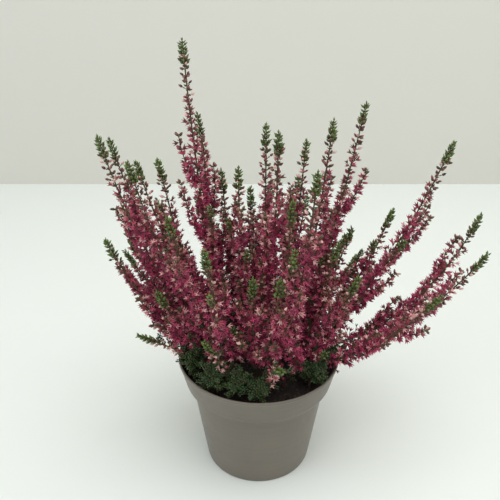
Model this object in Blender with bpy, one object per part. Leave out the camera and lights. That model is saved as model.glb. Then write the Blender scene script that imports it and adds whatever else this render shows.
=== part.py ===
"""A heather in bud in a plastic nursery pot.

The pot stands on the ground plane with the centre of its underside at the origin.
The plant's forty-nine flowering sprays and eight leafy shoots each stand in a hole of the soil.
Sizes below are millimetres, and each finished mesh is scaled to metres.
"""

import math
import random

import bmesh
import bpy
import numpy as np
from mathutils import Matrix, Vector, noise

MM = 0.001
SEED = 7

# The pot
POT_HEIGHT = 91.0
RIM_RADIUS = 60.0
COLLAR_FOOT_RADIUS = 54.9
COLLAR_FOOT_Z = 70.0
BODY_TOP_RADIUS = 50.2
BASE_RADIUS = 40.4
WALL = 1.2
POT_FLOOR = 1.8
EDGE_ROUND = 0.5
POT_SIDES = 48
DRAIN_HOLES = 8
DRAIN_RADIUS = 3.5
DRAIN_CIRCLE = 27.0
DRAIN_SIDES = 10
STEP_RISE = 0.5
STEP_FLARE = 1.0
SHARP_ANGLE = 35

# The soil
SOIL_Z = 80.0
SOIL_CROWN = 1.0
SOIL_RELIEF = 1.3
SOIL_RADIUS = 55.0
SOIL_SIDES = 36
SOIL_RINGS = 7
LUMP_SCALE = 0.16
SHOULDER_RISE = 2.0
GAP = 0.3

# The stems in the soil
STEM_RADIUS = 1.3
STEM_DEPTH = 8.0
HOLE_SIDES = 6
COLLAR_TURN = 7.0
NECK_SHARE = 0.7
FOOT_SPREAD = 44.0
FOOT_REACH = 65.0
LEAFY_FOOT = 0.84
LOW_TIP_Z = 110.0

# The sprays
ROWS = 4
BLOOM_PITCH = 8.8
SKIRT_PITCH = 8.0
LEAFY_PITCH = 5.0
TIP_PITCH = 6.5
CORE_SHARE = 0.45
LOWER_SWELL = 1.2
UPPER_TAPER = 0.8
TIP_LENGTH = 26.0
LEAFY_TIP_LENGTH = 4.0
TIP_WIDTH = 3.2
TIP_TAPER = 0.55
SKIRT_WIDTH = 3.4
ROUTE_POINTS = 28
HANDLE = 0.33
BOW_HANDLE = 0.0025
BUD_LIFT = 0.45
BUD_SPREAD = (0.9, 1.08)

# How the sprays are pushed clear of each other
CLEARANCE = 1.1
ROUNDS = 600
NEIGHBOUR_ROUNDS = 10
NEIGHBOUR_MARGIN = 6.0
TIP_HOLD = 0.5
LARGEST_LIFT = 2.0
SMOOTHINGS = 3
CLOSE_ENOUGH = 0.05

# Where each flowering spray ends, how much it bows up, where its flowers start and how wide they are:
# tip x, y, z, bow in degrees, share of the length below the flowers, half width
LEFT = [
    (-48, 10, 315, 3, 0.12, 5.6),
    (-42, 30, 265, 3, 0.12, 5.8),
    (-104, 0, 257, 8, 0.12, 5.6),
    (-103, 27, 248, 8, 0.15, 5.4),
    (-83, -15, 245, 6, 0.10, 5.6),
    (-90, 48, 225, 8, 0.15, 5.6),
    (-67, 5, 240, 5, 0.10, 5.6),
    (-104, -8, 188, 14, 0.18, 5.4),
    (-96, 22, 182, 12, 0.18, 5.4),
    (-85, -26, 123, 0, 0.15, 4.6),
    (-57, -40, 218, 5, 0.10, 5.8),
    (-70, -22, 156, 10, 0.15, 5.4),
]
CENTRE = [
    (-27, 35, 223, 2, 0.12, 5.2),
    (-14, 0, 236, 2, 0.10, 5.6),
    (4, 8, 263, 2, 0.10, 5.8),
    (11, -18, 265, 2, 0.10, 5.6),
    (32, 26, 247, 3, 0.10, 5.8),
    (-20, 48, 160, 6, 0.15, 5.2),
    (-6, 32, 211, 2, 0.12, 5.4),
    (20, -34, 226, 3, 0.10, 5.8),
]
RIGHT = [
    (47, 4, 267, 3, 0.10, 5.6),
    (70, 20, 274, 3, 0.10, 5.4),
    (126, 5, 252, 10, 0.12, 5.8),
    (98, 32, 194, 14, 0.14, 5.8),
    (150, 0, 203, 24, 0.16, 5.8),
    (149, -25, 186, 18, 0.16, 5.4),
    (67, 22, 184, 8, 0.12, 5.4),
    (53, 44, 177, 6, 0.12, 5.4),
    (54, -5, 184, 6, 0.12, 5.6),
    (63, -40, 177, 10, 0.12, 5.8),
    (116, -45, 166, 16, 0.16, 5.4),
]
FRONT = [
    (30, -72, 258, 8, 0.10, 5.8),
    (-34, -58, 204, 5, 0.06, 6.0),
    (-5, -50, 181, 5, 0.10, 5.8),
    (12, -62, 187, 6, 0.08, 6.0),
    (-36, -56, 138, 6, 0.10, 5.0),
    (14, -72, 126, -12, 0.25, 5.4),
]
BACK = [
    (-80, 64, 190, 8, 0.14, 5.6),
    (-50, 84, 185, 8, 0.14, 5.6),
    (-25, 88, 145, 10, 0.14, 5.4),
    (10, 76, 200, 6, 0.12, 5.8),
    (40, 86, 185, 8, 0.14, 5.6),
    (70, 62, 160, 8, 0.14, 5.6),
    (104, 50, 150, 14, 0.14, 5.4),
    (-104, 44, 155, 12, 0.14, 5.4),
    (30, 52, 213, 5, 0.12, 5.6),
    (86, 84, 132, 4, 0.16, 5.2),
    (-12, 108, 124, -4, 0.16, 5.2),
    (-70, 98, 128, 2, 0.16, 5.4),
]
SPRAYS = {"left": LEFT, "centre": CENTRE, "right": RIGHT, "front": FRONT, "back": BACK}

# Tips of the short leafy shoots that hide the foot of the plant: x, y, z, half width
LEAFY_SHOOTS = [
    (-33, -44, 101, 5.0),
    (-17, -49, 100, 5.0),
    (-2, -53, 98, 5.0),
    (-50, -18, 103, 5.2),
    (-52, 10, 101, 5.0),
    (43, -36, 99, 5.0),
    (12, 52, 100, 5.0),
    (-36, 40, 100, 5.0),
]


def clear_scene():
    for obj in list(bpy.data.objects):
        bpy.data.objects.remove(obj, do_unlink=True)


def material(name, colour, roughness):
    """A plain finish: colour as linear red, green and blue."""
    mat = bpy.data.materials.new(name)
    mat.use_nodes = True
    shader = mat.node_tree.nodes["Principled BSDF"]
    shader.inputs["Base Color"].default_value = (*colour, 1.0)
    shader.inputs["Roughness"].default_value = roughness
    shader.inputs["Metallic"].default_value = 0.0
    return mat


def add_object(name, bm, mat, smooth=False):
    """Scales a millimetre mesh to metres and links it as an object."""
    bmesh.ops.recalc_face_normals(bm, faces=bm.faces)
    if bm.calc_volume(signed=True) < 0:
        bmesh.ops.reverse_faces(bm, faces=bm.faces)
    bmesh.ops.transform(bm, matrix=Matrix.Scale(MM, 4), verts=bm.verts)
    mesh = bpy.data.meshes.new(name)
    bm.to_mesh(mesh)
    bm.free()
    mesh.materials.append(mat)
    if smooth:
        mesh.shade_smooth()
        mesh.set_sharp_from_angle(angle=math.radians(SHARP_ANGLE))
    obj = bpy.data.objects.new(name, mesh)
    bpy.context.scene.collection.objects.link(obj)
    return obj


def turned(profile, sides):
    """Spins radius and height pairs round the upright axis into a closed solid."""
    bm = bmesh.new()
    points = [bm.verts.new((radius, 0.0, z)) for radius, z in profile]
    edges = [bm.edges.new(pair) for pair in zip(points, points[1:])]
    bmesh.ops.spin(
        bm,
        geom=points + edges,
        cent=(0, 0, 0),
        axis=(0, 0, 1),
        angle=math.tau,
        steps=sides,
        use_merge=True,
    )
    bmesh.ops.remove_doubles(bm, verts=bm.verts, dist=0.001)
    return bm


def collar_radius(z):
    """Outer radius of the pot at a height."""
    if z >= COLLAR_FOOT_Z:
        share = (z - COLLAR_FOOT_Z) / (POT_HEIGHT - COLLAR_FOOT_Z)
        return COLLAR_FOOT_RADIUS + (RIM_RADIUS - COLLAR_FOOT_RADIUS) * share
    share = z / COLLAR_FOOT_Z
    return BASE_RADIUS + (BODY_TOP_RADIUS - BASE_RADIUS) * share


def make_pot():
    """A thin cone with a deep flared collar, a rounded lip and holes in its floor."""
    step_z = COLLAR_FOOT_Z - WALL
    outside = [
        (0, 0),
        (BASE_RADIUS - 3 * EDGE_ROUND, 0),
        (BASE_RADIUS, 3 * EDGE_ROUND),
        (collar_radius(step_z - STEP_RISE), step_z - STEP_RISE),
        (BODY_TOP_RADIUS + STEP_FLARE, step_z),
        (COLLAR_FOOT_RADIUS - EDGE_ROUND, step_z),
        (COLLAR_FOOT_RADIUS, COLLAR_FOOT_Z),
        (RIM_RADIUS, POT_HEIGHT - EDGE_ROUND),
        (RIM_RADIUS - EDGE_ROUND, POT_HEIGHT),
    ]
    inside = [
        (RIM_RADIUS - WALL + EDGE_ROUND / 2, POT_HEIGHT),
        (RIM_RADIUS - WALL, POT_HEIGHT - EDGE_ROUND),
        (COLLAR_FOOT_RADIUS - WALL, COLLAR_FOOT_Z + EDGE_ROUND),
        (collar_radius(step_z) - WALL, COLLAR_FOOT_Z - EDGE_ROUND),
        (BASE_RADIUS - WALL, POT_FLOOR),
        (0, POT_FLOOR),
    ]
    pot = add_object(
        "pot", turned(outside + inside, POT_SIDES), material("taupe_plastic", (0.17, 0.16, 0.13), 0.45), True
    )
    cutter = bmesh.new()
    for index in range(DRAIN_HOLES):
        angle = math.tau * index / DRAIN_HOLES
        place = (DRAIN_CIRCLE * math.cos(angle), DRAIN_CIRCLE * math.sin(angle), POT_FLOOR / 2)
        bmesh.ops.create_cone(
            cutter,
            cap_ends=True,
            segments=DRAIN_SIDES,
            radius1=DRAIN_RADIUS,
            radius2=DRAIN_RADIUS,
            depth=3 * POT_FLOOR,
            matrix=Matrix.Translation(place),
        )
    cut(pot, "drain_hole_cutter", cutter)


def cut(obj, name, bm):
    """Takes the cutter's closed shapes out of an object and leaves the cutter as a wire guide."""
    cutter = add_object(name, bm, obj.data.materials[0])
    cutter.hide_render = True
    cutter.display_type = "WIRE"
    boolean = obj.modifiers.new(name, "BOOLEAN")
    boolean.operation = "DIFFERENCE"
    boolean.object = cutter


def soil_height(x, y):
    """Height of the peat: a low mound with small lumps."""
    mound = SOIL_CROWN * (1 - min(1.0, math.hypot(x, y) / COLLAR_FOOT_RADIUS) ** 2)
    return SOIL_Z + mound + SOIL_RELIEF * noise.noise(Vector((x, y, 0)) * LUMP_SCALE)


def make_soil(feet):
    """Peat that fills the pot, with a plain hole for every stem."""
    shoulder = COLLAR_FOOT_RADIUS - WALL - 2 * GAP
    neck = collar_radius(COLLAR_FOOT_Z - SHOULDER_RISE) - WALL - 2 * GAP
    wall = [
        (0, POT_FLOOR + GAP),
        (BASE_RADIUS - WALL - 2 * GAP, POT_FLOOR + GAP),
        (neck, COLLAR_FOOT_Z - SHOULDER_RISE),
        (neck, COLLAR_FOOT_Z + SHOULDER_RISE),
        (shoulder, COLLAR_FOOT_Z + SHOULDER_RISE),
        (SOIL_RADIUS, SOIL_Z - 1),
    ]
    top = [(SOIL_RADIUS * (1 - ring / SOIL_RINGS), SOIL_Z) for ring in range(1, SOIL_RINGS + 1)]
    bm = turned(wall + top, SOIL_SIDES)
    for vert in bm.verts:
        if vert.co.z > SOIL_Z - 0.5:
            vert.co.z = soil_height(vert.co.x, vert.co.y)
    soil = add_object("soil", bm, material("peat", (0.012, 0.009, 0.007), 0.95))
    cutter = bmesh.new()
    hole = (STEM_RADIUS + GAP) / math.cos(math.pi / HOLE_SIDES)
    for x, y in feet:
        depth = STEM_DEPTH + GAP
        bmesh.ops.create_cone(
            cutter,
            cap_ends=True,
            segments=HOLE_SIDES,
            radius1=hole,
            radius2=hole,
            depth=2 * depth,
            matrix=Matrix.Translation((x, y, SOIL_Z)),
        )
    cut(soil, "stem_hole_cutter", cutter)


def foot_of(tip):
    """Where a spray comes out of the soil: nearer the edge, the further out it reaches."""
    reach = math.hypot(tip[0], tip[1])
    radius = FOOT_SPREAD * (1 - math.exp(-reach / FOOT_REACH))
    return Vector((tip[0] * radius / reach, tip[1] * radius / reach, SOIL_Z + COLLAR_TURN))


def arc_route(foot, tip, bow):
    """A smooth curve from foot to tip that starts flatter and ends steeper by the bow."""
    chord = tip - foot
    outward = Vector((chord.x, chord.y, 0)).normalized()
    slope = math.atan2(chord.z, math.hypot(chord.x, chord.y))
    handle = chord.length * (HANDLE + abs(bow) * BOW_HANDLE)

    def aim(angle):
        return outward * math.cos(angle) + Vector((0, 0, math.sin(angle)))

    first = foot + aim(slope - math.radians(bow)) * handle
    second = tip - aim(slope + math.radians(bow)) * handle
    route = []
    for index in range(ROUTE_POINTS):
        t = index / (ROUTE_POINTS - 1)
        s = 1 - t
        route.append(s**3 * foot + 3 * s * s * t * first + 3 * s * t * t * second + t**3 * tip)
    return np.array(route)


def growth(kind, share, width):
    """Core radius and outer radius of one ring of buds or leaves, at its share of its zone."""
    if kind == "skirt":
        return SKIRT_WIDTH * CORE_SHARE, SKIRT_WIDTH
    if kind == "bloom":
        outer = width * (LOWER_SWELL + (UPPER_TAPER - LOWER_SWELL) * share)
        return outer * CORE_SHARE, outer
    outer = TIP_WIDTH * (1 - TIP_TAPER * share)
    return outer * CORE_SHARE, outer


def zones_of(length, bare, tip_length):
    """The stretches of a spray from foot to tip: leafy skirt, flowers, green tip."""
    flowers = bare * length
    tip = length - tip_length
    return [("skirt", 0.0, flowers), ("bloom", flowers, tip), ("tip", tip, length)]


def width_along(length, bare, width, tip_length):
    """Half width of the growth at each route point."""
    widths = np.zeros(ROUTE_POINTS)
    run = np.linspace(0, length, ROUTE_POINTS)
    for kind, start, end in zones_of(length, bare, tip_length):
        for index in range(ROUTE_POINTS):
            if start <= run[index] <= end:
                share = (run[index] - start) / max(1.0, end - start)
                widths[index] = max(widths[index], growth(kind, share, width)[1])
    return widths


def near_pairs(points, owner, reach):
    """Pairs of points on different routes that lie within reach of each other."""
    first = []
    second = []
    for index in range(len(points) - 1):
        distance = np.linalg.norm(points[index + 1 :] - points[index], axis=1)
        close = np.nonzero((distance < reach) & (owner[index + 1 :] != owner[index]))[0]
        first.append(np.full(len(close), index))
        second.append(close + index + 1)
    return np.concatenate(first), np.concatenate(second)


def bend_clear(routes, widths):
    """Pushes neighbouring routes apart a little at a time, and low shoots only sideways."""
    routes = np.array(routes)
    widths = np.array(widths)
    shift = np.zeros_like(routes)
    hold = np.linspace(1.0, TIP_HOLD, ROUTE_POINTS)[None, :, None]
    owner = np.repeat(np.arange(len(routes)), ROUTE_POINTS)
    flat = widths.reshape(-1)
    low = routes[:, -1, 2] < LOW_TIP_Z
    for turn in range(ROUNDS):
        points = (routes + shift).reshape(-1, 3)
        if turn % NEIGHBOUR_ROUNDS == 0:
            one, two = near_pairs(points, owner, 2 * flat.max() + NEIGHBOUR_MARGIN)
            need = flat[one] + flat[two] + CLEARANCE
        away = points[one] - points[two]
        distance = np.linalg.norm(away, axis=1) + 1e-6
        lack = np.clip(need - distance, 0, None)
        step = away * (lack / distance)[:, None]
        push = np.zeros_like(points)
        hits = np.ones(len(points))
        for side, sign in ((one, 1), (two, -1)):
            np.add.at(push, side, sign * step)
            np.add.at(hits, side, lack > 0)
        from_pot = clear_pot(points.reshape(routes.shape), widths)
        if lack.max() < CLOSE_ENOUGH and np.abs(from_pot).max() < CLOSE_ENOUGH:
            break
        push = (push / hits[:, None]).reshape(routes.shape) + from_pot
        for _ in range(SMOOTHINGS):
            padded = np.concatenate([push[:, :1], push, push[:, -1:]], axis=1)
            push = (padded[:, :-2] + 2 * padded[:, 1:-1] + padded[:, 2:]) / 4
        push[:, :2, 2] = 0
        push[low, :, 2] = 0
        shift += push * hold
    return routes + shift


def clear_pot(points, widths):
    """Lifts shoots that end outside the pot over its lip, and draws the others in from its collar."""
    radius = np.hypot(points[:, :, 0], points[:, :, 1])
    inwards = radius - (SOIL_RADIUS - widths - CLEARANCE)
    upwards = POT_HEIGHT + widths + CLEARANCE - points[:, :, 2]
    touching = (inwards > 0) & (upwards > 0)
    leaves = radius[:, -1:] > RIM_RADIUS
    pull = np.where(touching & ~leaves, inwards, 0) / radius
    lift = np.where(touching & leaves, np.minimum(upwards, LARGEST_LIFT), 0)
    return np.stack([-points[:, :, 0] * pull, -points[:, :, 1] * pull, lift], axis=2)


def resampled(route, stations):
    """Points and directions at given distances along a route."""
    steps = np.linalg.norm(np.diff(route, axis=0), axis=1)
    run = np.concatenate([[0], np.cumsum(steps)])
    points = np.stack([np.interp(stations, run, route[:, axis]) for axis in range(3)], axis=1)
    ahead = np.stack([np.interp(stations + 1.5, run, route[:, axis]) for axis in range(3)], axis=1)
    behind = np.stack([np.interp(stations - 1.5, run, route[:, axis]) for axis in range(3)], axis=1)
    return points, ahead - behind


def route_length(route):
    return float(np.linalg.norm(np.diff(route, axis=0), axis=1).sum())


def rings_along(length, bare, pitch, tip_length):
    """The rings of one spray: distance from the foot, kind of growth, share of its zone."""
    pitches = {"skirt": SKIRT_PITCH, "bloom": pitch, "tip": TIP_PITCH}
    rings = []
    for kind, start, end in zones_of(length, bare, tip_length):
        steps = max(1, round((end - start) / pitches[kind])) if end > start else 0
        rings += [(start + (end - start) * step / steps, kind, step / steps) for step in range(steps)]
    return rings


def grow_spray(name, route, bare, width, mat, pitch, tip_length):
    """Extrudes a four-sided stem ring by ring and raises every side face into a pointed bud or leaf."""
    rng = random.Random(f"{SEED} {name}")
    rings = rings_along(route_length(route), bare, pitch, tip_length)
    points, aims = resampled(route, np.array([run for run, _, _ in rings]))
    foot = Vector(points[0])
    bm = bmesh.new()
    bmesh.ops.create_circle(bm, cap_ends=True, segments=ROWS, radius=STEM_RADIUS)
    place = Matrix.Translation((foot.x, foot.y, SOIL_Z - STEM_DEPTH))
    bmesh.ops.transform(bm, matrix=place, verts=bm.verts)
    neck = Matrix.Translation((foot.x, foot.y, SOIL_Z + COLLAR_TURN * NECK_SHARE))
    ring, _ = extend(bm, list(bm.edges), place, neck)
    place = neck
    upright = Vector((0, 0, 1))
    stagger = Matrix.Rotation(math.pi / ROWS, 4, "Z")
    spin = Matrix.Identity(4)
    raised = []
    for index, (_, kind, share) in enumerate(rings):
        core, outer = growth(kind, share, width)
        spin = spin @ stagger
        facing = upright.rotation_difference(Vector(aims[index])).to_matrix().to_4x4()
        scale = Matrix.Scale(core / STEM_RADIUS, 4)
        target = Matrix.Translation(Vector(points[index])) @ facing @ spin @ scale
        ring, faces = extend(bm, ring, place, target)
        if index:
            raised.append((faces, Vector(points[index - 1]), Vector(points[index]), last_outer))
        last_outer = outer * rng.uniform(*BUD_SPREAD)
        place = target
    bmesh.ops.pointmerge(bm, verts=extrude_ring(bm, ring)[0], merge_co=Vector(route[-1]))
    for faces, below, above, outer in raised:
        raise_buds(bm, faces, below, above, outer)
    return add_object(name, bm, mat)


def extrude_ring(bm, edges):
    made = bmesh.ops.extrude_edge_only(bm, edges=edges)["geom"]
    verts = [item for item in made if isinstance(item, bmesh.types.BMVert)]
    new_edges = [e for e in made if isinstance(e, bmesh.types.BMEdge) and all(v in verts for v in e.verts)]
    faces = [item for item in made if isinstance(item, bmesh.types.BMFace)]
    return verts, new_edges, faces


def extend(bm, edges, old, new):
    """Extrudes a ring and carries the copy from its old place to its new one."""
    verts, new_edges, faces = extrude_ring(bm, edges)
    bmesh.ops.transform(bm, matrix=new @ old.inverted(), verts=verts)
    return new_edges, faces


def raise_buds(bm, faces, below, above, outer):
    """Pokes the four faces of one ring and draws each new point out and up."""
    axis = (above - below).normalized()
    middle = (above + below) / 2
    lift = (above - below).length * BUD_LIFT
    for vert in bmesh.ops.poke(bm, faces=faces)["verts"]:
        radial = vert.co - middle
        radial -= axis * radial.dot(axis)
        vert.co = middle + radial.normalized() * outer + axis * lift


def planned():
    """Every shoot before it is bent clear: name, route, bare share, half width, pitch, tip length."""
    shoots = []
    for side, sprays in SPRAYS.items():
        for number, (x, y, z, bow, bare, width) in enumerate(sprays, 1):
            tip = Vector((x, y, z))
            route = arc_route(foot_of(tip), tip, bow)
            shoots.append((f"spray_{side}_{number:02d}", route, bare, width, BLOOM_PITCH, TIP_LENGTH))
    for number, (x, y, z, width) in enumerate(LEAFY_SHOOTS, 1):
        tip = Vector((x, y, z))
        foot = Vector((x * LEAFY_FOOT, y * LEAFY_FOOT, SOIL_Z + COLLAR_TURN))
        route = arc_route(foot, tip, 0)
        shoots.append((f"leafy_shoot_{number}", route, 0.0, width, LEAFY_PITCH, LEAFY_TIP_LENGTH))
    return shoots


def main():
    clear_scene()
    bloom = material("magenta_buds", (0.42, 0.04, 0.12), 0.6)
    leaf = material("dark_scale_leaves", (0.03, 0.07, 0.03), 0.7)
    shoots = planned()
    widths = [width_along(route_length(shoot[1]), shoot[2], shoot[3], shoot[5]) for shoot in shoots]
    routes = bend_clear([shoot[1] for shoot in shoots], widths)
    for (name, _, bare, width, pitch, tip_length), route in zip(shoots, routes):
        mat = leaf if name.startswith("leafy") else bloom
        grow_spray(name, route, bare, width, mat, pitch, tip_length)
    make_pot()
    make_soil([(route[0][0], route[0][1]) for route in routes])


main()
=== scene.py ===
# %% [markdown]
# # A heather in bud, in a nursery pot
# The plant is forty-nine flowering sprays and eight short leafy shoots in a thin plastic pot of peat.
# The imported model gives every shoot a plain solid. This script dresses each one with its own florets,
# buds and scale leaves, and gives the pot and the peat their real surfaces.

# %% Load the frame
import math
import random

import bmesh
import bpy
import numpy as np
from mathutils import Matrix, Vector, noise


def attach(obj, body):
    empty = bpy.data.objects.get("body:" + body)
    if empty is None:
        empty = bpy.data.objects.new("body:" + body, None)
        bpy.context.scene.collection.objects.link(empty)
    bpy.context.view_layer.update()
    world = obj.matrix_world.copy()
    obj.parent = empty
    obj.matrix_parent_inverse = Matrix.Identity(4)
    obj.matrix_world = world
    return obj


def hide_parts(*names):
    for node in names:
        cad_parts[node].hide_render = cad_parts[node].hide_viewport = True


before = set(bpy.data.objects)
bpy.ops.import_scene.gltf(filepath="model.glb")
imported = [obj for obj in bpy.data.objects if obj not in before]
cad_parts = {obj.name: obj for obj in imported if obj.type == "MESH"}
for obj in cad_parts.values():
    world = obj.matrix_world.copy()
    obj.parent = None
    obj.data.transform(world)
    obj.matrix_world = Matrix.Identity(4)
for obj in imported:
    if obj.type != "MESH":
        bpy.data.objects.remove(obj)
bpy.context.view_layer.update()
MM = 0.001
SEED = 7

# %% [markdown]
# ## The camera
# The photograph looks down at the pot from arm's length. A perspective camera could be aimed with a
# Track To constraint, but a fixed tilt is simpler to read: 0.39 m in front, 0.36 m up, 26 degrees down.

# %% Camera
CAMERA_PLACE = (-0.00643, -0.38653, 0.36443)
CAMERA_TILT = 25.979
CAMERA_LENS = 44.64
SENSOR_WIDTH = 36.0
NEAREST_SIGHT = 0.01

camera_data = bpy.data.cameras.new("camera")
camera_data.lens = CAMERA_LENS
camera_data.sensor_width = SENSOR_WIDTH
camera_data.clip_start = NEAREST_SIGHT
camera = bpy.data.objects.new("camera", camera_data)
camera.location = CAMERA_PLACE
camera.rotation_euler = (math.radians(90 - CAMERA_TILT), 0, 0)
bpy.context.scene.collection.objects.link(camera)
bpy.context.scene.camera = camera
print("camera:", CAMERA_LENS, "mm lens,", CAMERA_TILT, "degrees down")

# %% [markdown]
# ## Floor, backdrop and light
# The pot stands on white board in soft daylight. A sheet that curves up behind it could hide the
# corner, but a flat board and a wall a little way behind give the photograph's plain two tones. One
# broad lamp overhead and in front, two weaker ones at the sides and a pale sky leave faint shadows.

# %% Helpers for plain objects and colours
def linear(red, green, blue):
    """A screen colour, 0 to 255, as the linear colour that shaders take."""
    shares = [channel / 255 for channel in (red, green, blue)]
    return tuple(c / 12.92 if c <= 0.04045 else ((c + 0.055) / 1.055) ** 2.4 for c in shares) + (1.0,)


def new_material(name, colour, roughness):
    """A plain material, ready for nodes."""
    mat = bpy.data.materials.new(name)
    mat.use_nodes = True
    shader = mat.node_tree.nodes["Principled BSDF"]
    shader.inputs["Base Color"].default_value = colour
    shader.inputs["Roughness"].default_value = roughness
    return mat


def object_of(name, bm, mats):
    """Turns a bmesh into an object at the origin and frees the bmesh."""
    mesh = bpy.data.meshes.new(name)
    bm.to_mesh(mesh)
    bm.free()
    for mat in mats:
        mesh.materials.append(mat)
    obj = bpy.data.objects.new(name, mesh)
    bpy.context.scene.collection.objects.link(obj)
    return obj


def triangles_in(mesh):
    return sum(len(polygon.vertices) - 2 for polygon in mesh.polygons)


# %% Floor and backdrop
BOARD_SIZE = 3.0
BOARD_ROUGHNESS = 0.9
FLOOR_DROP = 0.0002
WALL_DISTANCE = 0.62


def board(name, place, tilt, colour):
    """A flat board for the floor or the wall."""
    bm = bmesh.new()
    bmesh.ops.create_grid(bm, x_segments=2, y_segments=2, size=BOARD_SIZE)
    matrix = Matrix.Translation(place) @ Matrix.Rotation(math.radians(tilt), 4, "X")
    bmesh.ops.transform(bm, matrix=matrix, verts=bm.verts)
    object_of(name, bm, [new_material(name, colour, BOARD_ROUGHNESS)])


board("floor", (0, 0, -FLOOR_DROP), 0, linear(226, 231, 227))
board("backdrop", (0, WALL_DISTANCE, 0), 90, linear(211, 210, 203))
print("backdrop", WALL_DISTANCE, "m behind the pot's middle")

# %% Lamps and sky
LAMP_TARGET = Vector((0, 0, 0.12))
# name, place and width in metres, watts, colour
LAMPS = [
    ("lamp_above", (0.15, -0.35, 1.5), 1.4, 16, (1.0, 0.985, 0.97)),
    ("lamp_right", (1.2, 0.1, 0.7), 0.9, 2.5, (1.0, 0.99, 0.97)),
    ("lamp_left", (-1.1, -0.7, 0.8), 0.9, 5, (0.95, 0.98, 1.0)),
]
SKY_COLOUR = (0.90, 0.93, 0.92, 1.0)
SKY_STRENGTH = 0.55

for name, place, size, watts, colour in LAMPS:
    lamp_data = bpy.data.lights.new(name, "AREA")
    lamp_data.shape = "SQUARE"
    lamp_data.size = size
    lamp_data.energy = watts
    lamp_data.color = colour
    lamp = bpy.data.objects.new(name, lamp_data)
    lamp.location = place
    lamp.rotation_euler = (LAMP_TARGET - Vector(place)).to_track_quat("-Z", "Y").to_euler()
    bpy.context.scene.collection.objects.link(lamp)

sky = bpy.data.worlds.new("sky")
sky.use_nodes = True
sky.node_tree.nodes["Background"].inputs["Color"].default_value = SKY_COLOUR
sky.node_tree.nodes["Background"].inputs["Strength"].default_value = SKY_STRENGTH
bpy.context.scene.world = sky
bpy.context.scene.view_settings.view_transform = "Standard"
print(len(LAMPS), "lamps and a sky of strength", SKY_STRENGTH)

# %% [markdown]
# ## Materials
# Every finish is made of nodes, so it stays sharp at any distance. The florets and leaves read a
# colour attribute that each template carries: red is how far up its spray it grows, green is a lucky
# number of its own, and blue runs from its base to its point. Pictures would blur at this scale.

# %% Helpers for node materials
def ramp(tree, stops):
    """A colour ramp with the given places and colours."""
    node = tree.nodes.new("ShaderNodeValToRGB")
    elements = node.color_ramp.elements
    elements.remove(elements[-1])
    elements[0].position, elements[0].color = stops[0]
    for place, colour in stops[1:]:
        elements.new(place).color = colour
    return node


def noise_of(tree, scale, detail=3.0, stretch=(1, 1, 1)):
    """A noise on Object coordinates; the scale counts cells in a metre."""
    coordinates = tree.nodes.new("ShaderNodeTexCoord")
    mapping = tree.nodes.new("ShaderNodeMapping")
    mapping.inputs["Scale"].default_value = stretch
    texture = tree.nodes.new("ShaderNodeTexNoise")
    texture.inputs["Scale"].default_value = scale
    texture.inputs["Detail"].default_value = detail
    tree.links.new(coordinates.outputs["Object"], mapping.inputs["Vector"])
    tree.links.new(mapping.outputs["Vector"], texture.inputs["Vector"])
    return texture.outputs["Fac"]


def mixed(tree, kind, factor, first, second):
    """Mixes two colours, each a socket or a value; the node's colour sockets are numbers 6, 7 and 2."""
    node = tree.nodes.new("ShaderNodeMix")
    node.data_type = "RGBA"
    node.blend_type = kind
    for socket, value in ((node.inputs[0], factor), (node.inputs[6], first), (node.inputs[7], second)):
        if isinstance(value, bpy.types.NodeSocket):
            tree.links.new(value, socket)
        else:
            socket.default_value = value
    return node.outputs[2]


def bumped(tree, height, strength, distance):
    """Raises the surface by a height socket; the distance is in metres."""
    shader = tree.nodes["Principled BSDF"]
    bump = tree.nodes.new("ShaderNodeBump")
    bump.inputs["Strength"].default_value = strength
    bump.inputs["Distance"].default_value = distance
    tree.links.new(height, bump.inputs["Height"])
    tree.links.new(bump.outputs["Normal"], shader.inputs["Normal"])


def growth_of(tree):
    """The three numbers that the templates carry: place on the spray, lucky number, base to point."""
    attribute = tree.nodes.new("ShaderNodeAttribute")
    attribute.attribute_name = "growth"
    parts = tree.nodes.new("ShaderNodeSeparateColor")
    tree.links.new(attribute.outputs["Color"], parts.inputs["Color"])
    return parts.outputs["Red"], parts.outputs["Green"], parts.outputs["Blue"]


def roughened(tree, factor, low, high):
    """Spreads a mottle over a range of roughness."""
    spread = tree.nodes.new("ShaderNodeMapRange")
    spread.inputs["To Min"].default_value = low
    spread.inputs["To Max"].default_value = high
    tree.links.new(factor, spread.inputs["Value"])
    tree.links.new(spread.outputs["Result"], tree.nodes["Principled BSDF"].inputs["Roughness"])


def coloured(tree, colour):
    """Gives the shader its colour."""
    tree.links.new(colour, tree.nodes["Principled BSDF"].inputs["Base Color"])
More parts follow.
